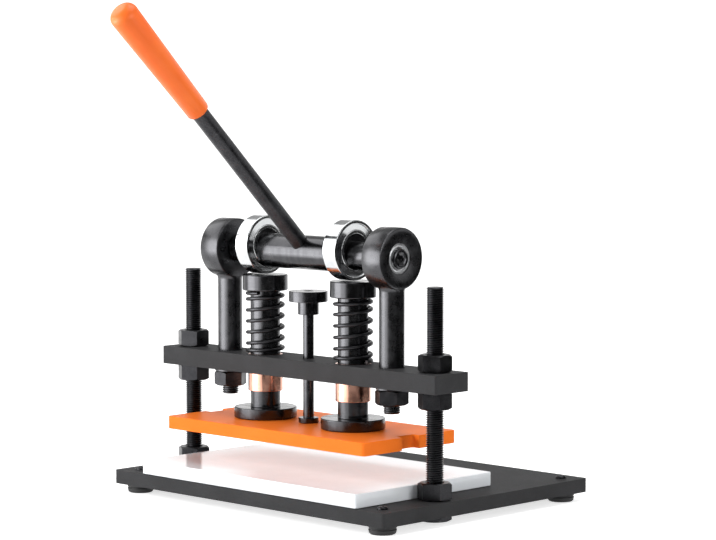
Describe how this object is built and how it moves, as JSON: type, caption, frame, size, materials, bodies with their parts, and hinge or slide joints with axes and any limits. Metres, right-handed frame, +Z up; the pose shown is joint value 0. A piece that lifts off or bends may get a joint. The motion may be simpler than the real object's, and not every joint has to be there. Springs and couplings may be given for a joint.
{
  "type": "leather die cutting press",
  "caption": "Bench hand press: a lever turns a camshaft whose rollers push sprung pistons and a flat pressing plate down onto dies that lie on a white cutting board.",
  "frame": {"origin": "on the floor under the feet, in the middle of the press's overall width and depth with its lever up", "axes": "+Z up; +X along the crossbar, to the right of someone who stands in front; the lever leans to the front, which is -Y"},
  "size_m": [0.359, 0.4202, 0.4581],
  "materials": {
    "base_coat": "dark grey powder coat on steel plate, fine grain, satin",
    "plate_coat": "orange powder coat on steel plate, smooth, semi-gloss",
    "black_steel": "black oxide on turned and threaded steel, satin with an oily sheen",
    "bearing_steel": "ground and polished bearing steel, mirror bright",
    "bushing_bronze": "copper coloured turned bronze, satin",
    "grip_plastic": "orange moulded grip, soft sheen",
    "board_plastic": "white cutting board plastic, smooth and glossy",
    "foot_rubber": "black moulded rubber, dull"
  },
  "bodies": {
    "frame": {"base_plate": "base_coat", "foot_front_left": "foot_rubber", "foot_front_right": "foot_rubber", "foot_rear_left": "foot_rubber", "foot_rear_right": "foot_rubber", "foot_screw_front_left": "black_steel", "foot_screw_front_right": "black_steel", "foot_screw_rear_left": "black_steel", "foot_screw_rear_right": "black_steel", "column_left": "black_steel", "column_right": "black_steel", "under_nut_left": "black_steel", "under_nut_right": "black_steel", "base_nut_left": "black_steel", "base_nut_right": "black_steel"},
    "board": {"cutting_board": "board_plastic"},
    "head": {"crossbar": "base_coat", "eye_bolt_left": "black_steel", "eye_bolt_right": "black_steel", "eye_washer_left": "black_steel", "eye_washer_right": "black_steel", "eye_nut_left": "black_steel", "eye_nut_right": "black_steel", "eye_outer_ring_left": "bearing_steel", "eye_outer_ring_right": "bearing_steel", "bushing_left": "bushing_bronze", "bushing_right": "bushing_bronze", "return_spring_left": "black_steel", "return_spring_right": "black_steel"},
    "cam": {"camshaft": "black_steel", "shaft_spacer_left": "black_steel", "shaft_spacer_right": "black_steel", "shaft_end_screw_left": "black_steel", "shaft_end_screw_right": "black_steel", "eye_inner_ring_left": "bearing_steel", "eye_inner_ring_right": "bearing_steel", "roller_inner_ring_left": "bearing_steel", "roller_inner_ring_right": "bearing_steel", "lever_rod": "black_steel", "lever_grip": "grip_plastic"},
    "platen": {"pressing_plate": "plate_coat", "piston_left": "black_steel", "piston_right": "black_steel", "piston_cap_left": "black_steel", "piston_cap_right": "black_steel", "piston_screw_left": "black_steel", "piston_screw_right": "black_steel", "centre_rod": "black_steel"},
    "knob": {"stop_knob": "black_steel"},
    "lower_nut_left": {"lower_nut_left": "black_steel"},
    "upper_nut_left": {"upper_nut_left": "black_steel"},
    "roller_left": {"roller_outer_ring_left": "bearing_steel"},
    "roller_cage_left": {"roller_ball_cage_left": "bearing_steel"},
    "eye_cage_left": {"eye_ball_cage_left": "bearing_steel"},
    "lower_nut_right": {"lower_nut_right": "black_steel"},
    "upper_nut_right": {"upper_nut_right": "black_steel"},
    "roller_right": {"roller_outer_ring_right": "bearing_steel"},
    "roller_cage_right": {"roller_ball_cage_right": "bearing_steel"},
    "eye_cage_right": {"eye_ball_cage_right": "bearing_steel"}
  },
  "joints": [
    {"name": "board_slide", "type": "slide", "parent": "frame", "child": "board", "axis": [0, -1, 0], "range_m": [0, 0.19]},
    {"name": "head_height", "type": "slide", "parent": "frame", "child": "head", "axis": [0, 0, 1], "range_m": [-0.015, 0.045]},
    {"name": "lever_turn", "type": "hinge", "parent": "head", "child": "cam", "pos_m": [0, 0.02014, 0.233], "axis": [1, 0, 0], "range_deg": [0, 75]},
    {"name": "platen_slide", "type": "slide", "parent": "head", "child": "platen", "axis": [0, 0, -1], "range_m": [0, 0.00371], "stiffness_N_per_m": 13700, "springref_m": -0.012, "deforming": ["return_spring_left", "return_spring_right"]},
    {"name": "knob_turn", "type": "hinge", "parent": "platen", "child": "knob", "pos_m": [0, 0.02014, 0.1878], "axis": [0, 0, 1], "continuous": true},
    {"name": "upper_nut_turn_left", "type": "hinge", "parent": "head", "child": "upper_nut_left", "pos_m": [-0.159, 0.02014, 0.1353], "axis": [0, 0, 1], "continuous": true},
    {"name": "lower_nut_turn_left", "type": "hinge", "parent": "head", "child": "lower_nut_left", "pos_m": [-0.159, 0.02014, 0.1022], "axis": [0, 0, 1], "continuous": true},
    {"name": "roller_turn_left", "type": "hinge", "parent": "cam", "child": "roller_left", "pos_m": [-0.0618, 0.02014, 0.238], "axis": [1, 0, 0], "continuous": true},
    {"name": "roller_cage_turn_left", "type": "hinge", "parent": "cam", "child": "roller_cage_left", "pos_m": [-0.0618, 0.02014, 0.238], "axis": [1, 0, 0], "continuous": true},
    {"name": "eye_cage_turn_left", "type": "hinge", "parent": "head", "child": "eye_cage_left", "pos_m": [-0.11175, 0.02014, 0.233], "axis": [1, 0, 0], "range_deg": [0, 33]},
    {"name": "upper_nut_turn_right", "type": "hinge", "parent": "head", "child": "upper_nut_right", "pos_m": [0.159, 0.02014, 0.1353], "axis": [0, 0, 1], "continuous": true},
    {"name": "lower_nut_turn_right", "type": "hinge", "parent": "head", "child": "lower_nut_right", "pos_m": [0.159, 0.02014, 0.1022], "axis": [0, 0, 1], "continuous": true},
    {"name": "roller_turn_right", "type": "hinge", "parent": "cam", "child": "roller_right", "pos_m": [0.0538, 0.02014, 0.238], "axis": [1, 0, 0], "continuous": true},
    {"name": "roller_cage_turn_right", "type": "hinge", "parent": "cam", "child": "roller_cage_right", "pos_m": [0.0538, 0.02014, 0.238], "axis": [1, 0, 0], "continuous": true},
    {"name": "eye_cage_turn_right", "type": "hinge", "parent": "head", "child": "eye_cage_right", "pos_m": [0.11175, 0.02014, 0.233], "axis": [1, 0, 0], "range_deg": [0, 33]}
  ],
  "couplings": [
    {"joint": "platen_slide", "follows": "lever_turn", "m_per_rad": 0.0028311},
    {"joint": "roller_cage_turn_left", "follows": "roller_turn_left", "ratio": 0.5627},
    {"joint": "eye_cage_turn_left", "follows": "lever_turn", "ratio": 0.4335},
    {"joint": "roller_cage_turn_right", "follows": "roller_turn_right", "ratio": 0.5627},
    {"joint": "eye_cage_turn_right", "follows": "lever_turn", "ratio": 0.4335}
  ]
}
